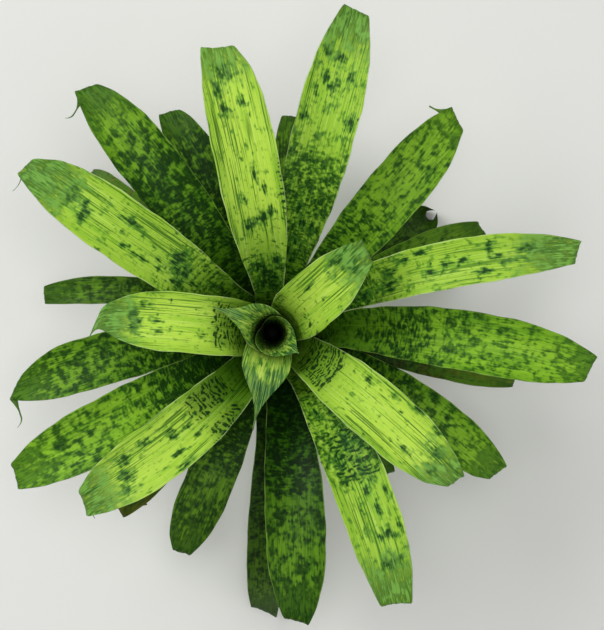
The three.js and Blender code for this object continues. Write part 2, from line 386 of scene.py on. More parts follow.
def skinFaces(top, under):  # both skins, and a wall that closes the foot
    rowCount, columnCount = top.shape
    faces = []
    for row in range(rowCount - 1):
        for column in range(columnCount - 1):
            a, b, c, d = row, row + 1, column, column + 1
            faces.append((top[a, c], top[b, c], top[b, d], top[a, d]))
            faces.append((under[a, c], under[a, d], under[b, d], under[b, c]))
    for column in range(columnCount - 1):
        wall = [top[0, column], top[0, column + 1], under[0, column + 1], under[0, column]]
        faces.append(tuple(dict.fromkeys(wall)))  # at an edge two of its corners are one
    return [tuple(int(i) for i in face) for face in faces]


def smoothMesh(name, points, faces):  # the points are in millimetres
    mesh = bpy.data.meshes.new(name)
    mesh.from_pydata((np.array(points) * millimetre).tolist(), [], faces)
    mesh.polygons.foreach_set("use_smooth", np.ones(len(mesh.polygons), bool))
    return mesh


def skinMesh(leaf, name):
    s, t = np.meshgrid(rowsOf(leaf), columnsOf(leaf), indexing="ij")
    height = swell(leaf, s, t, t * halfWidth(leaf, s))
    half = halfThickness(leaf, s, t)
    upper = skinPoints(leaf, s, t, height + half)
    lower = skinPoints(leaf, s, t, height - half)
    upper, lower, s, t = addThread(leaf, s, t, upper, lower)
    lower[-1] = upper[-1]
    own = np.ones(s.shape, bool)  # the lower skin shares the edges and the tip with the upper one
    own[:, 0] = own[:, -1] = own[-1] = False
    top = np.arange(s.size).reshape(s.shape)
    under = top.copy()
    under[own] = s.size + np.arange(own.sum())
    points = np.concatenate([upper.reshape(-1, 3), lower[own]])
    mesh = smoothMesh(name, points, skinFaces(top, under))
    addLayers(mesh, markLayers(leaf, s, t), own)
    mesh.validate()
    mesh.update()
    return mesh


# Short ways to make shader nodes

white = (1.0, 1.0, 1.0, 1)


def screenColour(red, green, blue):  # from the 0 to 255 of a picture to Blender's linear colour
    return tuple((v / 255 / 12.92 if v < 11 else ((v / 255 + 0.055) / 1.055) ** 2.4)
                 for v in (red, green, blue)) + (1,)


def addNode(tree, kind, inputs, **settings):
    node = tree.nodes.new(kind)
    for key, value in settings.items():
        setattr(node, key, value)
    for socket, value in inputs.items():
        if isinstance(value, bpy.types.NodeSocket):
            tree.links.new(value, node.inputs[socket])
        else:
            node.inputs[socket].default_value = value
    return node


def maths(tree, operation, *values):
    return addNode(tree, "ShaderNodeMath", dict(enumerate(values)), operation=operation).outputs[0]


def times(tree, first, second):
    return maths(tree, "MULTIPLY", first, second)


def stretched(tree, place, scales):
    return addNode(tree, "ShaderNodeVectorMath", {0: place, 1: scales}, operation="MULTIPLY").outputs[0]


def between(tree, value, low, high):  # 0 below low, 1 above high, and soft between them
    inputs = {"Value": value, "From Min": low, "From Max": high}
    return addNode(tree, "ShaderNodeMapRange", inputs, interpolation_type="SMOOTHSTEP").outputs[0]


def layer(tree, value, low, high, most):  # the same, but only as strong as the last number says
    return times(tree, between(tree, value, low, high), most)


def grain(tree, plan, across, lengthwise, detail=2.0, rough=0.5, twist=0.0):
    # Noise whose marks are about that many millimetres across and along the leaf
    scaled = stretched(tree, plan, (1 / across, 1 / lengthwise, 1))
    inputs = {"Vector": scaled, "Scale": 1.0, "Detail": detail, "Roughness": rough, "Distortion": twist}
    return addNode(tree, "ShaderNodeTexNoise", inputs).outputs[0]


def broken(tree, density, noise, pushes):  # each noise pushes the density up and down, by its strength
    for name, strength in pushes.items():
        push = times(tree, maths(tree, "SUBTRACT", noise[name], 0.5), strength)
        density = maths(tree, "ADD", density, push)
    return density


def mixed(tree, share, first, second):  # sockets 6 and 7 are the two colours
    return addNode(tree, "ShaderNodeMix", {0: share, 6: first, 7: second}, data_type="RGBA").outputs[2]


def startMaterial(name):
    material = bpy.data.materials.new(name)
    material.use_nodes = True
    tree = material.node_tree
    return material, tree, tree.nodes["Principled BSDF"]


def addBump(tree, surface, height, strength, distance):
    bump = addNode(tree, "ShaderNodeBump", {"Height": height, "Strength": strength, "Distance": distance})
    tree.links.new(bump.outputs[0], surface.inputs["Normal"])


def attributeParts(tree, name):
    vector = addNode(tree, "ShaderNodeAttribute", {}, attribute_name=name).outputs["Vector"]
    return vector, addNode(tree, "ShaderNodeSeparateXYZ", {0: vector}).outputs


# The leaf's skin: each function lays one kind of mark over the colour below it. The layers that the
# mesh carries say where the marks lie, and noise stretched along the leaf breaks them up.

noiseSizes = {                      # across and along the leaf, then the detail and the roughness
    "fibre": (0.8, 40, 3, 0.6),
    "feather": (1.5, 11, 1.5),
    "knot": (3.6, 4.4, 1),
    "cloud": (8, 10, 2),
    "stripe": (6, 90, 2),
    "paleLine": (1.2, 95, 2),
    "hair": (1.3, 70, 2),
    "hairPlace": (9, 60, 1),
    "stray": (2.2, 7, 2),
    "bend": (12, 14, 1),
    "gap": (3.2, 4.4, 1),
    "rim": (3, 30, 1),
    "pore": (0.5, 1.1, 2),
}


def leafNoises(tree, plan, look):
    noise = {name: grain(tree, plan, *sizes) for name, sizes in noiseSizes.items()}
    noise["wisp"] = grain(tree, plan, *look["wisps"])
    return noise


def stripedGround(tree, noise, share, edge, old, look):
    striped = between(tree, broken(tree, noise["stripe"], noise, look["stripeBreaks"]), *look["stripes"])
    ground = mixed(tree, striped, look["ground"], look["stripe"])
    # The ground darkens towards the foot: painted shade
    inner = layer(tree, share, *look["shadeTowardsFoot"])
    ripe = layer(tree, old, *look["deepWithAge"])
    # It also darkens near both edges: painted shade across the hollow blade
    shadedSides = layer(tree, edge, *look["shadeAtSides"])
    # Older leaves are a deeper green of their own, and the same green also paints shade towards the foot and
    # near the edges
    ripeAndShade = maths(tree, "MAXIMUM", maths(tree, "MAXIMUM", inner, ripe), shadedSides)
    ground = mixed(tree, ripeAndShade, ground, look["ripeAndShadeGround"])
    return mixed(tree, layer(tree, noise["paleLine"], *look["paleLines"]), ground, look["paleGreen"])


def hairLines(tree, noise, lined, ground, look):
    hair = maths(tree, "ADD", noise["hair"], times(tree, lined, look["hairsWhereLined"]))
    places = maths(tree, "MAXIMUM", between(tree, noise["hairPlace"], *look["hairPlaces"]), lined)
    lines = times(tree, between(tree, hair, *look["hairWidth"]), places)
    return mixed(tree, times(tree, lines, look["hairs"]), ground, look["hairGreen"])


def laidOn(tree, wish, kind, ground, look):
    # A soft pale margin round a dark core, which starts where the density is 0.5
    soft = look[kind + "Softness"]
    margin = layer(tree, wish, 0.5 - soft, 0.5 + 0.5 * soft, look["marginStrength"])
    core = layer(tree, wish, 0.5, 0.5 + 1.3 * soft, look["coreStrength"])
    return mixed(tree, core, mixed(tree, margin, ground, look[kind + "Pale"]), look[kind + "Green"])


def crowdedMarks(tree, noise, crowd, share, ground, look):
    # Wisps across the inner part of the leaf, and feathered marks along the outer part
    outer = between(tree, share, *look["outerPart"])
    inner = maths(tree, "SUBTRACT", 1.0, outer)
    wish = broken(tree, crowd, noise, look["crowdBreaks"])
    crosswise = times(tree, broken(tree, 0.0, noise, look["innerBreaks"]), inner)
    lengthwise = times(tree, broken(tree, 0.0, noise, look["outerBreaks"]), outer)
    wish = maths(tree, "ADD", wish, maths(tree, "ADD", crosswise, lengthwise))
    return laidOn(tree, wish, "crowd", ground, look)


def smudgeMarks(tree, noise, smudge, ground, look):
    strays = layer(tree, broken(tree, noise["stray"], noise, look["strayBreaks"]), *look["strays"])
    wish = broken(tree, smudge, noise, look["smudgeBreaks"])
    return laidOn(tree, maths(tree, "MAXIMUM", wish, strays), "smudge", ground, look)


def glyphMarks(tree, lengthwise, noise, glyph, ground, look):
    # Curved strokes across the leaf: a wave along it, bent by slow noise and broken up by gaps
    bend = times(tree, noise["bend"], look["strokeBend"])
    turns = times(tree, lengthwise, fullTurn / look["strokeSpacing"])
    wave = maths(tree, "SINE", maths(tree, "ADD", turns, bend))
    stroke = between(tree, broken(tree, wave, noise, look["strokeBreaks"]), *look["strokeWidth"])
    gaps = between(tree, noise["gap"], *look["strokeGaps"])
    patch = between(tree, broken(tree, glyph, noise, look["patchBreaks"]), *look["patches"])
    strokes = times(tree, times(tree, stroke, gaps), patch)
    ground = mixed(tree, times(tree, glyph, look["veil"]), ground, look["hairGreen"])
    return mixed(tree, times(tree, strokes, look["coreStrength"]), ground, look["smudgeGreen"])


def greenEnd(tree, noise, tip, ground, look):
    tipped = layer(tree, broken(tree, tip, noise, look["tipBreaks"]), *look["tipStrength"])
    cloudy = broken(tree, noise[look["tipGrain"]], noise, look["tipGrainBreaks"])
    green = mixed(tree, between(tree, cloudy, *look["tipMottle"]), look["tipDark"], look["tipPale"])
    return mixed(tree, tipped, ground, green)


def fibrousFoot(tree, noise, share, ground, look):  # the sheath pales to straw where it clasps the stem
    wish = broken(tree, between(tree, share, *look["footPart"]), noise, look["footBreaks"])
    straw = mixed(tree, between(tree, noise["feather"], *look["footFlecks"]), look["foot"],
                  look["footFleck"])
    return mixed(tree, layer(tree, wish, *look["footStrength"]), ground, straw)


def agedGreen(tree, noise, share, old, ground, look):  # yellow all over, and then dry at the end
    yellowed = layer(tree, broken(tree, old, noise, look["ageBreaks"]), *look["yellowing"])
    ground = mixed(tree, yellowed, ground, look["yellowed"])
    dryEnd = times(tree, between(tree, share, *look["dryPart"]), between(tree, old, *look["dryAge"]))
    return mixed(tree, dryEnd, ground, look["dried"])


def shadedGreen(tree, shade, ground, look):
    inputs = {0: 1.0, 6: ground, 7: mixed(tree, shade, white, look["shadeGreen"])}
    return addNode(tree, "ShaderNodeMix", inputs, data_type="RGBA", blend_type="MULTIPLY").outputs[2]


def paleRim(tree, noise, share, edge, ground, look):
    rim = times(tree, between(tree, edge, *look["rimWidth"]), between(tree, share, *look["rimPart"]))
    rim = times(tree, rim, between(tree, noise["rim"], *look["rimGaps"]))
    return mixed(tree, times(tree, rim, look["edgeStrength"]), ground, look["edge"])


def leafSkin(name, look):
    material, tree, surface = startMaterial(name)
    plan, (_, lengthwise, _) = attributeParts(tree, "plan")
    _, (smudge, glyph, crowd) = attributeParts(tree, "marks")
    _, (tip, edge, shade) = attributeParts(tree, "tone")
    _, (under, share, old) = attributeParts(tree, "state")
    _, (lined, _, _) = attributeParts(tree, "lined")
    noise = leafNoises(tree, plan, look)
    ground = stripedGround(tree, noise, share, edge, old, look)
    ground = hairLines(tree, noise, lined, ground, look)
    ground = crowdedMarks(tree, noise, crowd, share, ground, look)
    ground = smudgeMarks(tree, noise, smudge, ground, look)
    ground = glyphMarks(tree, lengthwise, noise, glyph, ground, look)
    ground = greenEnd(tree, noise, tip, ground, look)
    ground = fibrousFoot(tree, noise, share, ground, look)
    ground = agedGreen(tree, noise, share, old, ground, look)
    ground = shadedGreen(tree, shade, ground, look)
    ground = paleRim(tree, noise, share, edge, ground, look)
    spread, least = look["bloomStrength"]
    bloom = maths(tree, "MULTIPLY_ADD", between(tree, noise["fibre"], *look["bloom"]), spread, least)
    belowGreen = mixed(tree, bloom, ground, look["underside"])
    tree.links.new(mixed(tree, under, ground, belowGreen), surface.inputs["Base Color"])
    spread = look["roughnessSpread"]
    dull = maths(tree, "MULTIPLY_ADD", noise["cloud"], spread, look["roughness"] - spread / 2)
    tree.links.new(dull, surface.inputs["Roughness"])
    surface.inputs["Specular IOR Level"].default_value = look["gloss"]
    addBump(tree, surface, broken(tree, noise["fibre"], noise, look["poreDepth"]), *look["bump"])
    return material


# Three numbers say where something starts, where it is full, and how strong it then is, and two
# leave out the strength. The breaks say how much each noise pushes a kind of mark up and down.
commonLook = {
    "ground": screenColour(182, 219, 74),
    "stripe": screenColour(150, 198, 54),
    # the deeper green of older leaves, and also the painted shade towards the foot and near the edges
    "ripeAndShadeGround": screenColour(120, 174, 38),
    "stripes": (0.46, 0.76),                # lower gives more of the deeper stripes
    "stripeBreaks": {"fibre": 0.8},
    "shadeTowardsFoot": (0.66, 0.3, 0.75),        # painted shade towards the foot, in shares of the length
    "deepWithAge": (0.0, 0.5, 0.75),
    "shadeAtSides": (11, 1, 0.4),            # painted shade near both edges of the hollow blade, in millimetres from the edge
    "paleGreen": screenColour(206, 232, 116),
    "paleLines": (0.56, 0.66, 0.4),
    "hairGreen": screenColour(50, 104, 22),
    "hairs": 0.85,
    "hairWidth": (0.55, 0.64),              # lower gives wider hair lines
    "hairPlaces": (0.42, 0.6),
    "hairsWhereLined": 0.045,               # how much denser they are there
    "marginStrength": 0.8,
    "coreStrength": 0.94,
    "crowdPale": screenColour(74, 128, 28),
    "crowdGreen": screenColour(26, 68, 14),
    "crowdSoftness": 0.42,
    "outerPart": (0.5, 0.8),                # in shares of the length
    "wisps": (3.4, 2.6, 1, 0.5, 0.4),       # across, along, detail, roughness and twist
    "innerBreaks": {"wisp": 2.2},
    "outerBreaks": {"feather": 1.6},
    "crowdBreaks": {"cloud": 2.3, "knot": 1.38},
    "smudgeGreen": screenColour(16, 56, 18),
    "smudgePale": screenColour(76, 134, 40),
    "smudgeSoftness": 0.4,
    "smudgeBreaks": {"feather": 1.7, "knot": 1.5, "fibre": 0.6},
    "strays": (0.76, 0.86, 0.75),           # lower gives more small smudges in between
    "strayBreaks": {"feather": 0.4},
    "strokeSpacing": 4.2,
    "strokeBend": 22,
    "strokeWidth": (-0.5, 0.3),             # lower gives wider strokes
    "strokeGaps": (0.40, 0.53),             # higher gives more gaps
    "strokeBreaks": {"knot": 2.6},
    "patches": (0.32, 0.64),
    "patchBreaks": {"knot": 1.2, "cloud": 1.8},
    "veil": 0.35,                           # how much the ground darkens under the strokes
    "tipDark": screenColour(30, 82, 28),
    "tipPale": screenColour(118, 170, 70),
    "tipGrain": "cloud",
    "tipGrainBreaks": {"feather": 0.8, "fibre": 0.5},
    "tipMottle": (0.38, 0.66),
    "tipStrength": (0.1, 1.1, 0.92),
    "tipBreaks": {"feather": 1.1, "cloud": 1.6},
    "foot": screenColour(150, 152, 92),
    "footFleck": screenColour(106, 92, 62),
    "footFlecks": (0.35, 0.65),
    "footPart": (0.3, 0.03),                # in shares of the length
    "footStrength": (0.25, 0.9, 0.8),
    "footBreaks": {"fibre": 1.4, "cloud": 0.6},
    "yellowed": screenColour(140, 138, 36),
    "yellowing": (0.6, 1.2, 0.7),
    "ageBreaks": {"cloud": 1.2, "feather": 0.6},
    "dried": screenColour(112, 84, 46),
    "dryPart": (0.97, 1.05),                # in shares of the length
    "dryAge": (0.4, 0.9),
    "shadeGreen": screenColour(100, 136, 60),
    "edge": screenColour(200, 222, 150),
    "edgeStrength": 0.6,
    "rimWidth": (0.9, 0.3),                 # in millimetres from the edge
    "rimPart": (1.0, 0.85),                 # in shares of the length
    "rimGaps": (0.3, 0.6),
    "underside": screenColour(120, 158, 78),
    "bloom": (0.3, 0.7),                    # the waxy bloom on the underside
    "bloomStrength": (0.3, 0.3),            # how much it varies, and the least there is
    "roughness": 0.5,
    "roughnessSpread": 0.16,
    "gloss": 0.12,
    "poreDepth": {"pore": 0.25},
    "bump": (0.3, 0.0003),                  # strength, and height in metres
}


def heartSkin():
    return leafSkin("heartSkin", {
        **commonLook,
        "ground": screenColour(180, 208, 84), "stripe": screenColour(128, 170, 58),
        "ripeAndShadeGround": screenColour(112, 154, 48),
        "stripes": (0.38, 0.62), "hairs": 1.0, "hairGreen": screenColour(44, 92, 36),
        "crowdPale": screenColour(70, 124, 48), "crowdGreen": screenColour(28, 74, 30),
        "crowdSoftness": 0.22, "crowdBreaks": {"cloud": 0.8, "knot": 0.48},
        "wisps": (0.9, 8.0, 1, 0.5, 0.4), "innerBreaks": {"wisp": 2.6},
        "tipDark": screenColour(26, 76, 34), "tipPale": screenColour(122, 162, 84),
        "tipGrain": "fibre", "tipGrainBreaks": {"feather": 0.2, "fibre": 0.5},
        "shadeGreen": screenColour(16, 26, 12)})


def brightSkin():
    return leafSkin("brightSkin", commonLook)


def matureSkin():
    return leafSkin("matureSkin", {
        **commonLook,
        "ground": screenColour(138, 188, 42), "stripe": screenColour(110, 162, 32),
        "ripeAndShadeGround": screenColour(88, 142, 24),
        "hairs": 0.5, "hairGreen": screenColour(48, 98, 18), "paleGreen": screenColour(160, 204, 70),
        "crowdPale": screenColour(60, 112, 22), "crowdGreen": screenColour(22, 62, 12),
        "crowdBreaks": {"cloud": 2.7, "knot": 1.62},
        "wisps": (5.5, 2.4, 1, 0.5, 0.4), "innerBreaks": {"wisp": 2.1},
        "smudgeGreen": screenColour(20, 56, 12), "smudgePale": screenColour(50, 98, 20),
        "strays": (0.67, 0.77, 0.75),
        "tipDark": screenColour(34, 78, 14), "tipPale": screenColour(92, 140, 32),
        "shadeGreen": screenColour(86, 122, 50), "edge": screenColour(142, 176, 82)})


def shadedSkin():
    return leafSkin("shadedSkin", {
        **commonLook,
        "ground": screenColour(98, 142, 26), "stripe": screenColour(82, 124, 22),
        "ripeAndShadeGround": screenColour(66, 106, 18),
        "hairs": 0.45, "hairGreen": screenColour(38, 76, 14), "paleGreen": screenColour(120, 162, 50),
        "crowdPale": screenColour(50, 88, 16), "crowdGreen": screenColour(20, 50, 9),
        "wisps": (5.0, 2.6, 1, 0.5, 0.4),
        "smudgeGreen": screenColour(18, 46, 9), "smudgePale": screenColour(36, 72, 14),
        "tipDark": screenColour(30, 64, 12), "tipPale": screenColour(70, 110, 26),
        "shadeGreen": screenColour(86, 114, 50), "edge": screenColour(112, 140, 62)})


# The stem: rings of leaf scars, a fibrous coat and a pale cut end

stemLook = {
    "coat": screenColour(126, 104, 64),
    "darkCoat": screenColour(70, 54, 32),
    "coatMottle": (0.8, 1.25),
    "strands": (1400, 1400, 130),        # to a metre, across the stem and up it
    "blotches": 160,                     # to a metre
    "cupShade": screenColour(12, 18, 10),  # painted shade at the bottom of the cup, on the stem's top
    "cupShadeFrom": (0.112, 0.126),           # heights in metres where it starts and is full
    "cutPith": screenColour(214, 200, 156),
    "cutFibre": screenColour(160, 134, 84),
    "cutGrain": 700,                     # cells to a metre
    "cutMottle": (0.1, 0.45),
    "cutUpTo": (0.0008, 0.0002),         # heights in metres where it ends and is full
    "roughness": 0.78,
    "gloss": 0.12,
    "bump": (0.6, 0.0006),               # strength, and height in metres
    "segments": 96,                      # round the stem
    "cutEdge": (0.5, 0.4),               # how far in and up the cut's edge is rounded
    "scarRings": (1, 14, 0.5),           # heights from, to and apart, where the rings lie close
    "upperRings": (15, 40),              # where the wider rings start, and how many they are
    "scarRidge": 0.6,
    "scarWidth": 0.7,
    "coatRelief": 0.35,
    "topRise": 0.5,                      # of the growing point above the last ring
}


def stemCoat():
    material, tree, surface = startMaterial("stemCoat")
    place = addNode(tree, "ShaderNodeTexCoord", {}).outputs["Object"]
    strands = stretched(tree, place, stemLook["strands"])
    fibre = addNode(tree, "ShaderNodeTexNoise", {"Vector": strands, "Scale": 1.0, "Detail": 4.0})
    blotchInputs = {"Vector": place, "Scale": stemLook["blotches"], "Detail": 3.0}
    blotch = addNode(tree, "ShaderNodeTexNoise", blotchInputs)
    patchy = maths(tree, "ADD", fibre.outputs[0], blotch.outputs[0])
    coat = mixed(tree, between(tree, patchy, *stemLook["coatMottle"]), stemLook["darkCoat"],
                 stemLook["coat"])
    cells = addNode(tree, "ShaderNodeTexVoronoi", {"Vector": place, "Scale": stemLook["cutGrain"]})
    pithy = between(tree, cells.outputs["Distance"], *stemLook["cutMottle"])
    pith = mixed(tree, pithy, stemLook["cutFibre"], stemLook["cutPith"])
    height = addNode(tree, "ShaderNodeSeparateXYZ", {0: place}).outputs[2]
    # Near the top the stem goes almost black: painted shade at the bottom of the cup
    coat = mixed(tree, between(tree, height, *stemLook["cupShadeFrom"]), coat, stemLook["cupShade"])
    cut = between(tree, height, *stemLook["cutUpTo"])
    tree.links.new(mixed(tree, cut, coat, pith), surface.inputs["Base Color"])
    surface.inputs["Roughness"].default_value = stemLook["roughness"]
    surface.inputs["Specular IOR Level"].default_value = stemLook["gloss"]
    addBump(tree, surface, patchy, *stemLook["bump"])
    return material


def stemRings():
    inwards, upwards = stemLook["cutEdge"]
    wideFrom, wideRings = stemLook["upperRings"]
    close = np.arange(*stemLook["scarRings"])
    wide = np.linspace(wideFrom, plant["stemHeight"], wideRings)
    heights = np.concatenate([[0, upwards], close, wide])
    radii = stemRadiusAt(heights)
    radii[0] -= inwards
    for scar in range(plant["internode"], plant["lowestLeaf"], plant["internode"]):
        radii = radii + stemLook["scarRidge"] * np.exp(-((heights - scar) / stemLook["scarWidth"]) ** 2)
    return heights, radii


def coatDepth(angles, height, phases):  # from 7 to 32 waves round the stem, which drift on the way up
    waves = [np.sin((7 + 5 * k) * angles + phases[k] + height * 0.11 * k) for k in range(len(phases))]
    return stemLook["coatRelief"] * (0.5 + sum(waves) / 14)


def stemMesh():
    draw = np.random.default_rng(5)
    heights, radii = stemRings()
    count = stemLook["segments"]
    rings = len(heights)
    angles = np.linspace(0, fullTurn, count, endpoint=False)
    phases = draw.uniform(0, fullTurn, 6)
    points = []
    for height, radius in zip(heights, radii):
        r = radius - coatDepth(angles, height, phases)
        points += [(x, y, height) for x, y in zip(np.cos(angles) * r, np.sin(angles) * r)]
    points += [(0, 0, 0), (0, 0, plant["stemHeight"] + stemLook["topRise"])]
    faces = []
    for ring in range(rings - 1):
        low = ring * count
        high = low + count
        for k in range(count):
            n = (k + 1) % count
            faces.append((low + k, low + n, high + n, high + k))
    last = (rings - 1) * count
    for k in range(count):
        n = (k + 1) % count
        faces.append((rings * count, n, k))
        faces.append((rings * count + 1, last + k, last + n))
    return smoothMesh("stemSkin", points, faces)


# The leaves, youngest first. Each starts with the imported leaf's own sizes: its length from foot to
# fold, its widest, how far it leans and sweeps, and how its end folds. Then comes where its marks
# lie: smudges as (share along, side from -1 to 1, length, width), zones of curved strokes and of hair
# lines as (from, to, low side, high side, strength), and crowd and shade as (share along, how much).
# A crowd below 0 keeps that stretch clear of small marks.

everywhere = (-1.3, 1.3)  # from beyond one edge to beyond the other

usual = {
    "lean": 0,                        # the turn away from its place in the spiral
    "sweep": 0,                       # how far it bends sideways, foot to fold
    "bendFrom": 0.08,                 # shares of the length between which it arches over
    "bendTo": 1,
    "clasp": 155,                     # how far round the stem its foot reaches
    "letGo": (33, 119),               # where the sheath leaves the stem's cone and is a blade
    "neck": 0.62,                     # share of the width, in the narrow place above the sheath
    "foldWidth": 0.46,                # likewise at the fold
    "fold": 125,                      # how far the end is folded down and under
    "hook": 0,                        # how far the end bends to the left, in its own plane
    "skew": -22,                      # of the fold line from square
    "corner": 0,                      # share by which the corner beside the fold is rounded off
    "tip": 30,                        # length of the narrow end past the fold
    "taper": 1.6,                     # 1 narrows it evenly, and more makes it hollow-sided
    "channel": 42,                    # radius of the blade's hollow upper face
    "roll": 42,                       # the same radius at the fold
    "columns": 28,                    # across the fine skin
    "pinched": 0.3,                   # how strongly the end gathers into a keel
    "thread": 0,                      # length of the dry thread at the tip
    "tipFrom": 0.92,                  # where the greener end starts
    "smudges": [],
    "glyphs": [],                     # the zones of curved strokes
    "lined": [],                      # where its dark hair lines lie closer together
    "crowd": [(0, 0.15), (1, 0.15)],  # how crowded the marks are
    "shade": [(0.1, 0.9), (0.4, 0.3), (0.6, 0)],
    "old": 0,                         # how yellow and dry it has become
}
inTube = {"bendFrom": 0.7, "letGo": (84, 112), "skew": 0, "columns": 56, "pinched": 0, "finish": "heart"}
innermost = {**inTube, "clasp": 290, "neck": 1, "foldWidth": 0.36, "fold": 30, "tip": 12}
wrapsTube = {**inTube, "clasp": 290, "neck": 1.4, "bendFrom": 0.8, "foldWidth": 0.36, "tip": 24}
longTipped = {**inTube, "clasp": 230, "foldWidth": 0.9, "fold": 50, "tip": 46, "taper": 2.2}
bright = {"finish": "bright", "columns": 34}
bentOut = {**bright, "neck": 0.8, "bendFrom": 0.45, "foldWidth": 0.4}
curled = {**bentOut, "bendTo": 0.8, "fold": 55, "skew": -8, "hook": 50, "tip": 26}
twisted = {"fold": 95, "hook": 35, "skew": -10}
mature = {"finish": "mature", "columns": 30, "crowd": [(0, 0.6), (1, 0.6)]}
shaded = {"finish": "shaded", "crowd": [(0, 0.6), (1, 0.6)], "columns": 22, "old": 0.1}
rolledEnd = {**shaded, "foldWidth": 0.85, "fold": 60, "skew": 0, "tip": 12, "taper": 0.3, "pinched": 0,
             "roll": 4.9}  # nearly closed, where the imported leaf's roll of 6 stands open

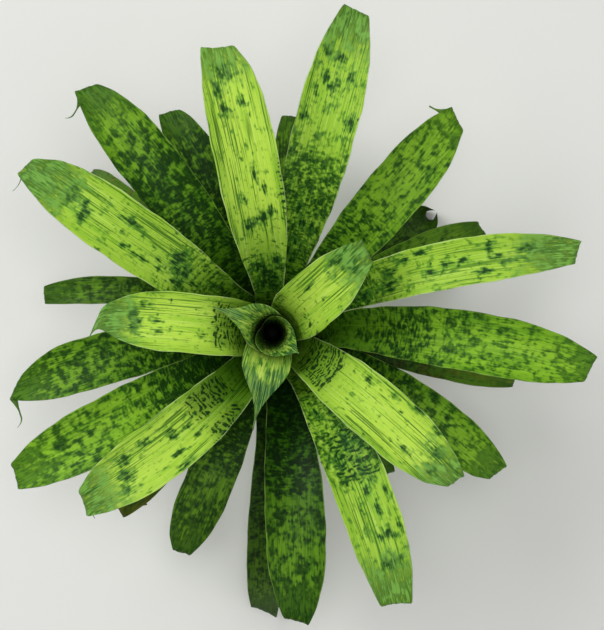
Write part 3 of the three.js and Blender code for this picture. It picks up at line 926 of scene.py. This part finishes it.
leaves = [
    # The heart: the innermost, one that wraps it and one with a long tip
    {**innermost, "length": 90, "width": 60, "rise": 84.5, "droop": 75, "lean": -18,
     "crowd": [(0, 1), (0.5, 0.6), (0.85, 0.4), (1, 0.6)], "tipFrom": 1.08,
     "shade": [(0, 1), (0.13, 1), (0.24, 0.45), (0.6, 0.12), (1, 0)]},
    {**wrapsTube, "length": 102, "width": 50, "rise": 83.8, "droop": 45, "lean": 29, "sweep": 14,
     "fold": 35, "skew": 20,
     "crowd": [(0, 0.5), (0.8, 0.5), (1, 0.45)], "tipFrom": 1.06,
     "shade": [(0, 1), (0.5, 0.8), (0.66, 0.2), (0.78, 0)]},
    {**longTipped, "length": 93, "width": 44, "rise": 82.5, "droop": 35, "lean": -2, "sweep": -4,
     "crowd": [(0, 0.3), (0.75, 0.1), (0.9, 0.35), (1.1, 0.6)], "tipFrom": 1.06,
     "shade": [(0, 1), (0.45, 0.8), (0.58, 0)]},
    # The bright leaves
    {**bentOut, "length": 206, "width": 45, "rise": 81.5, "droop": 15, "lean": -2, "sweep": 6,
     "skew": -15, "tipFrom": 0.9, "crowd": [(0, 0), (0.6, -0.2), (0.8, -0.1), (1, 0.4)], "old": 0.1,
     "shade": [(0.1, 0.9), (0.3, 0.15), (0.42, 0)],
     "glyphs": [(0.25, 0.42, *everywhere, 0.8), (0.42, 0.62, 0.6, 1.3, 0.6), (0.42, 0.66, -1.3, -0.85, 0.6)],
     "lined": [(0.66, 1.0, 0.2, 1.2, 1), (0.8, 1.0, -0.7, 0.2, 0.9), (0.45, 0.66, 0.6, 1.2, 0.6)],
     "smudges": [(0.60, -0.25, 9, 4), (0.60, -0.6, 9, 4), (0.75, 0.4, 16, 3), (0.90, 0.5, 16, 9),
                 (0.91, 0.1, 12, 7), (0.93, -0.1, 10, 12)]},
    {**curled, "length": 193, "width": 48, "droop": 0, "lean": -8, "sweep": 8, "bendFrom": 0.3,
     "neck": 0.95, "tipFrom": 0.9, "crowd": [(0, 0), (0.6, -0.25), (0.8, -0.1), (1, 0.4)],
     "shade": [(0.1, 0.9), (0.34, 0.2), (0.48, 0)],
     "glyphs": [(0.38, 0.57, -0.75, 0.7, 1.0)],
     "lined": [(0.62, 0.92, -1.1, -0.2, 0.9), (0.66, 0.85, 0.4, 0.8, 0.7)],
     "smudges": [(0.61, 0.35, 7, 4), (0.78, 0.35, 10, 5), (0.80, 0.0, 12, 4), (0.84, -0.55, 10, 5),
                 (0.88, 0.2, 9, 16), (0.89, -0.2, 9, 14)]},
    {**bright, "length": 251, "width": 48, "lean": 2, "sweep": -16, "foldWidth": 0.38, "skew": -9,
     "corner": 0.4, "tipFrom": 0.91, "pinched": 0.7, "crowd": [(0, 0.2), (0.5, -0.2), (1, -0.2)],
     "glyphs": [(0.30, 0.50, -0.8, 1.3, 0.95)],
     "lined": [(0.62, 0.96, -1.1, -0.4, 1), (0.66, 0.96, 0.0, 0.6, 1), (0.5, 0.7, 0.75, 1.2, 0.8)],
     "smudges": [(0.605, 0.62, 12, 5), (0.70, 0.72, 10, 4), (0.78, 0.95, 10, 7), (0.59, -0.1, 8, 3),
                 (0.83, -0.35, 10, 5), (0.90, 0.35, 12, 12), (0.86, 0.9, 10, 5), (0.92, -0.3, 12, 8)]},
    {**bright, "length": 301, "width": 49, "lean": -1.4, "sweep": 13, "neck": 0.45, "foldWidth": 0.58,
     "skew": -9, "corner": 0.35, "tipFrom": 0.95, "crowd": [(0.2, 0.5), (0.42, 0.5), (0.46, -0.1), (1, -0.2)],
     "glyphs": [(0.55, 0.72, -1.2, -0.85, 0.9)],
     "smudges": [(0.32, 0.3, 24, 12), (0.31, -0.3, 22, 14), (0.36, -0.1, 26, 16), (0.40, 0.4, 16, 12),
                 (0.42, -0.5, 14, 8), (0.545, 0.3, 12, 10), (0.56, -0.15, 14, 9), (0.575, -0.5, 12, 7),
                 (0.62, 0.35, 9, 6), (0.68, -0.15, 14, 5), (0.64, -0.35, 8, 4), (0.85, 0.35, 14, 8),
                 (0.86, -0.25, 12, 4), (0.90, 0.5, 14, 6), (0.94, 0.1, 16, 20)],
     "lined": [(0.5, 0.95, 0.25, 1.1, 1), (0.78, 0.95, -1.0, -0.5, 0.9), (0.6, 0.9, 0.0, 0.25, 0.5)]},
    {**bright, **twisted, "length": 258, "width": 48, "lean": -15.3, "sweep": -30, "foldWidth": 0.5,
     "corner": 0.3, "tipFrom": 0.91, "crowd": [(0, 0.1), (0.6, -0.1), (0.8, -0.1), (1, 0.3)], "old": 0.12,
     "shade": [(0.1, 1), (0.45, 0.85), (0.64, 0)],
     "glyphs": [(0.42, 0.59, -0.8, 0.05, 1.2), (0.45, 0.59, 0.5, 1.3, 1.0)],
     "lined": [(0.6, 0.88, -0.9, 0.1, 1), (0.65, 0.8, 0.1, 0.5, 0.5)],
     "smudges": [(0.70, 0.85, 14, 6), (0.695, 0.43, 14, 4), (0.68, -0.2, 8, 10), (0.61, 0.35, 12, 3),
                 (0.625, -0.05, 8, 3), (0.76, -0.5, 12, 6), (0.84, -0.45, 12, 9), (0.86, 0.05, 14, 12),
                 (0.88, 0.5, 12, 8)]},
    {**bright, "length": 322, "width": 36, "lean": -0.8, "sweep": -35, "skew": -16, "tipFrom": 0.89,
     "crowd": [(0.2, 0.95), (0.45, 0.85), (0.58, 0.1), (1, 0)], "old": 0.26,
     "shade": [(0.1, 1), (0.45, 0.65), (0.66, 0)],
     "lined": [(0.6, 0.92, -0.6, 0.3, 0.8), (0.5, 0.8, 0.5, 1.1, 0.6)],
     "smudges": [(0.55, -0.3, 18, 10), (0.56, 0.25, 12, 6), (0.47, -0.4, 16, 9), (0.60, 0.6, 12, 6),
                 (0.65, 0.75, 14, 5), (0.655, -0.15, 10, 7), (0.70, 0.0, 9, 7), (0.74, 0.05, 8, 6),
                 (0.80, 0.5, 10, 7), (0.815, 0.0, 8, 6), (0.785, -0.5, 12, 5), (0.86, -0.2, 26, 4),
                 (0.89, 0.3, 20, 10)]},
    {**bright, **twisted, "length": 292, "width": 50, "lean": -13, "sweep": 2, "foldWidth": 0.4,
     "corner": 0.4, "tipFrom": 0.88, "thread": 7, "old": 0.26,
     "crowd": [(0.2, 0.6), (0.5, 0.4), (0.58, 0), (0.8, 0), (0.9, 0.4)],
     "lined": [(0.5, 0.86, -1.0, 0.0, 1), (0.55, 0.75, 0.0, 0.7, 0.5)],
     "smudges": [(0.31, 0.1, 12, 5), (0.39, -0.2, 14, 5), (0.45, 0.2, 10, 4), (0.50, 0.5, 16, 7),
                 (0.505, 0.1, 18, 12), (0.53, -0.3, 16, 14), (0.57, 0.4, 8, 4), (0.585, 0.12, 8, 4),
                 (0.62, 0.4, 9, 4), (0.65, 0.45, 8, 4), (0.68, 0.4, 9, 4), (0.70, -0.35, 22, 6),
                 (0.81, 0.3, 9, 12), (0.82, 0.0, 8, 6), (0.86, 0.1, 12, 14), (0.87, -0.25, 12, 10)]},
    {**bright, "length": 294, "width": 45, "lean": -0.2, "sweep": -30, "foldWidth": 0.51, "skew": -7,
     "tipFrom": 0.90, "crowd": [(0.3, 0.4), (0.5, 0.6), (0.66, 0.5), (0.7, 0), (1, 0.1)], "old": 0.3,
     "glyphs": [(0.52, 0.67, -0.6, 0.9, 0.8)],
     "lined": [(0.66, 0.92, -1.0, 0.1, 1), (0.4, 0.6, 0.4, 1.1, 0.7)],
     "smudges": [(0.40, 0.3, 14, 6), (0.45, 0.25, 10, 8), (0.44, -0.4, 10, 6), (0.47, 0.9, 10, 5),
                 (0.50, 0.5, 10, 6), (0.56, 0.1, 14, 8), (0.60, -0.4, 12, 8), (0.58, 0.6, 10, 7),
                 (0.68, 0.4, 8, 6), (0.72, 0.75, 12, 4), (0.70, 0.1, 10, 5), (0.75, 0.3, 14, 5),
                 (0.82, 0.3, 8, 18), (0.81, 0.85, 12, 5), (0.89, 0.2, 12, 22)]},
    {**bright, "length": 322, "width": 49, "lean": -1.3, "neck": 0.46, "foldWidth": 0.4, "skew": -12,
     "tipFrom": 0.91, "crowd": [(0.1, 0.75), (0.5, 0.6), (0.54, 0.8), (0.66, 0.6), (0.7, 0.1), (1, 0.1)],
     "old": 0.28, "lined": [(0.3, 0.95, 0.5, 1.1, 0.7), (0.6, 0.95, -1.0, -0.5, 0.8)],
     "smudges": [(0.33, 0.55, 14, 5), (0.34, 0.0, 14, 5), (0.37, 0.3, 14, 7), (0.39, -0.3, 16, 5),
                 (0.41, 0.1, 12, 7), (0.47, -0.1, 14, 6), (0.46, -0.5, 18, 4), (0.51, 0.2, 16, 6),
                 (0.735, 0.75, 12, 8), (0.74, -0.7, 14, 9), (0.81, 0.05, 12, 9), (0.80, 0.6, 12, 4),
                 (0.83, 0.4, 10, 7), (0.84, -0.4, 12, 6), (0.88, 0.1, 12, 10), (0.89, 0.6, 12, 9)]},
    # The mature leaves, which show between the bright ones
    {**mature, "length": 280, "width": 48, "lean": -6.5, "sweep": -4, "foldWidth": 0.42, "skew": -11,
     "corner": 0.1, "tipFrom": 0.94,
     "crowd": [(0.1, 1.0), (0.42, 0.95), (0.56, 0.65), (0.63, 0.35), (0.8, 0.5), (0.9, 0.55), (1, 0.6)]},
    {**mature, "length": 306, "width": 48, "lean": -0.2, "sweep": -23, "foldWidth": 0.44, "skew": -9,
     "corner": 0.1, "tipFrom": 0.96, "columns": 34,
     "crowd": [(0.1, 0.7), (0.3, 0.25), (0.42, 0.4), (0.5, 0.7), (0.6, 0.45), (0.68, 0.5), (0.76, 0.4),
               (0.88, 0.2), (0.94, 0.6), (1, 0.6)]},
    {**mature, "length": 289, "width": 47, "lean": -8, "sweep": 8, "foldWidth": 0.39, "hook": 25,
     "corner": 0.3, "thread": 8, "shade": [(0.1, 0.8), (0.4, 0.5), (0.7, 0.4), (1, 0.3)],
     "crowd": [(0.1, 0.9), (0.35, 0.6), (0.5, 0.8), (0.72, 0.8), (0.8, 0.5), (0.86, 0.35), (1, 0.6)]},
    {**mature, "length": 270, "width": 49, "lean": 1.8, "sweep": -14, "foldWidth": 0.38, "skew": -15,
     "shade": [(0.1, 1), (0.5, 0.9), (0.8, 0.6), (1, 0.6)],
     "crowd": [(0.1, 1.1), (0.4, 0.85), (0.57, 0.8), (0.66, 0.45), (0.71, 0.6), (0.78, 0.3), (0.87, 0.7),
               (1, 0.9)]},
    {**mature, "length": 263, "width": 47, "lean": -3.7, "sweep": 1, "foldWidth": 0.37, "hook": 25,
     "skew": -25, "shade": [(0.1, 0.8), (0.4, 0.2), (0.6, 0)], "tipFrom": 0.97,
     "crowd": [(0.1, 0.9), (0.5, 0.55), (0.66, 0.4), (0.7, 0.3), (0.85, 0.35), (0.9, 0.45), (1, 0.5)]},
    {**mature, "length": 244, "width": 43, "lean": -0.4, "sweep": 20, "foldWidth": 0.27, "skew": -48,
     "thread": 10, "shade": [(0.1, 1), (0.5, 0.4), (1, 0.2)],
     "crowd": [(0.1, 1.0), (0.55, 0.7), (0.8, 0.55), (0.9, 0.7)]},
    {**mature, "length": 244, "width": 41, "lean": -3.2, "sweep": -24, "foldWidth": 0.48, "skew": -9,
     "corner": 0.35, "shade": [(0.1, 1), (0.6, 0.35), (1, 0)],
     "crowd": [(0.1, 1.0), (0.5, 0.7), (0.75, 0.5), (0.82, 0.35), (1, 0.55)]},
    {**mature, "length": 222, "width": 38, "lean": 4, "sweep": 12, "skew": -15, "corner": 0.2,
     "shade": [(0.1, 0.9), (0.6, 0.5), (1, 0.5)], "crowd": [(0.1, 1.0), (0.6, 0.85), (1, 0.75)]},
    # The shaded leaves underneath, down to the oldest
    {**shaded, "length": 215, "width": 41, "lean": -3, "sweep": 1, "foldWidth": 0.38, "skew": 9,
     "corner": 0.25, "crowd": [(0.1, 1.1), (0.55, 0.9), (0.68, 0.5), (0.8, 0.6), (1, 0.8)]},
    {**shaded, "length": 210, "width": 36, "lean": -3.5, "sweep": -8, "skew": 15,
     "crowd": [(0, 0.5), (0.5, 0.3), (1, 0.15)], "shade": [(0.1, 0.8), (0.3, 0)]},
    {**shaded, "length": 212, "width": 23, "lean": 2.2, "sweep": 38, "foldWidth": 0.6, "skew": -4},
    {**shaded, "length": 158, "width": 34},
    {**shaded, "length": 192, "width": 30, "lean": -2, "sweep": 8, "foldWidth": 0.52, "skew": -5},
    {**shaded, "length": 208, "width": 34, "lean": 2, "old": 0.9, "shade": [(0, 1), (1, 0.7)]},
    {**shaded, "length": 218, "width": 28, "lean": -17, "sweep": -6, "skew": -5, "old": 0.66,
     "crowd": [(0, 0.9), (0.6, 0.6), (0.8, 0.2)], "shade": [(0, 1), (0.5, 0.7), (0.8, 0)]},
    {**shaded, "length": 257, "width": 28, "droop": -64.5, "lean": -4.5, "sweep": 7, "skew": -20,
     "old": 0.62, "crowd": [(0, 0.5), (1, 0.05)], "shade": [(0, 0.8), (0.5, 0)]},
    {**shaded, "length": 278, "width": 29, "droop": -52.5, "lean": -16.6, "sweep": 3, "foldWidth": 0.75,
     "skew": -42, "crowd": [(0, 0.8), (1, 0.4)], "shade": [(0, 1), (0.5, 0.7), (1, 0.35)]},
    {**rolledEnd, "length": 180, "width": 34, "droop": -50.9, "lean": -27, "shade": [(0, 1), (1, 0.55)]},
]


def leafOf(index, own):
    spiral = {key: plant[key][0] + plant[key][1] * index for key in ("rise", "droop")}
    return {**usual, **spiral, **own, "index": index}


def addPiece(name, mesh, material, node):
    piece = bpy.data.objects.new(name, mesh)
    bpy.context.scene.collection.objects.link(piece)
    mesh.materials.append(material)
    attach(piece, "root")
    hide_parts(node)


skins = {"heart": heartSkin(), "bright": brightSkin(), "mature": matureSkin(), "shaded": shadedSkin()}
for index, own in enumerate(leaves):
    leaf = leafOf(index, own)
    walkMidrib(leaf, len(leaves))
    number = str(index + 1).zfill(2)
    mesh = skinMesh(leaf, "leafSkin" + number)
    addPiece("leafBlade_" + number, mesh, skins[leaf["finish"]], "leaf_" + number)
print("leaves laid out and painted")

addPiece("stemCore", stemMesh(), stemCoat(), "stem")
print("stem turned")


# The stage: a plain pale floor, soft studio light, and the camera that looks straight down.
# Its sizes and the lamps' places are in metres, but the camera's place is in millimetres.

stage = {
    "cameraPlace": (23.7, 14.5, 1550),
    "lens": 100,                         # in millimetres
    "sensor": 36,                        # likewise
    "clipStart": 0.01,
    "floorSize": 12,
    "floorColour": screenColour(236, 236, 232),
    "floorRoughness": 0.9,
    "skyColour": white,
    "skyStrength": 0.3,
    "key": ((-1.2, 0.9, 1.7), 25, 1.2),  # place, power in watts and size of each lamp
    "fill": ((1.3, -1.0, 1.3), 8, 1.6),
    "top": ((0.1, 0.1, 2.4), 12, 0.8),
}


def paleFloor():
    material, tree, surface = startMaterial("paleFloor")
    surface.inputs["Base Color"].default_value = stage["floorColour"]
    surface.inputs["Roughness"].default_value = stage["floorRoughness"]
    half = stage["floorSize"] / 2
    mesh = bpy.data.meshes.new("floor")
    corners = [(-half, -half, 0), (half, -half, 0), (half, half, 0), (-half, half, 0)]
    mesh.from_pydata(corners, [], [(0, 1, 2, 3)])
    mesh.materials.append(material)
    floor = bpy.data.objects.new("floor", mesh)
    bpy.context.scene.collection.objects.link(floor)


def softLight(name, place, power, size):  # it faces the origin
    light = bpy.data.lights.new(name, "AREA")
    light.energy = power
    light.size = size
    lamp = bpy.data.objects.new(name, light)
    lamp.location = place
    lamp.rotation_euler = (-lamp.location).to_track_quat("-Z", "Y").to_euler()
    bpy.context.scene.collection.objects.link(lamp)


def camera():
    eye = bpy.data.cameras.new("eye")
    eye.lens = stage["lens"]
    eye.sensor_fit = "VERTICAL"
    eye.sensor_height = stage["sensor"]
    eye.sensor_width = stage["sensor"]
    eye.clip_start = stage["clipStart"]
    view = bpy.data.objects.new("eye", eye)
    view.location = [v * millimetre for v in stage["cameraPlace"]]
    bpy.context.scene.collection.objects.link(view)
    bpy.context.scene.camera = view


def paleSky():
    sky = bpy.data.worlds.new("sky")
    sky.use_nodes = True
    background = sky.node_tree.nodes["Background"]
    background.inputs[0].default_value = stage["skyColour"]
    background.inputs[1].default_value = stage["skyStrength"]
    bpy.context.scene.world = sky


paleFloor()
for name in ("key", "fill", "top"):
    softLight(name, *stage[name])
camera()
paleSky()
bpy.context.scene.view_settings.view_transform = "Standard"
print("stage set")
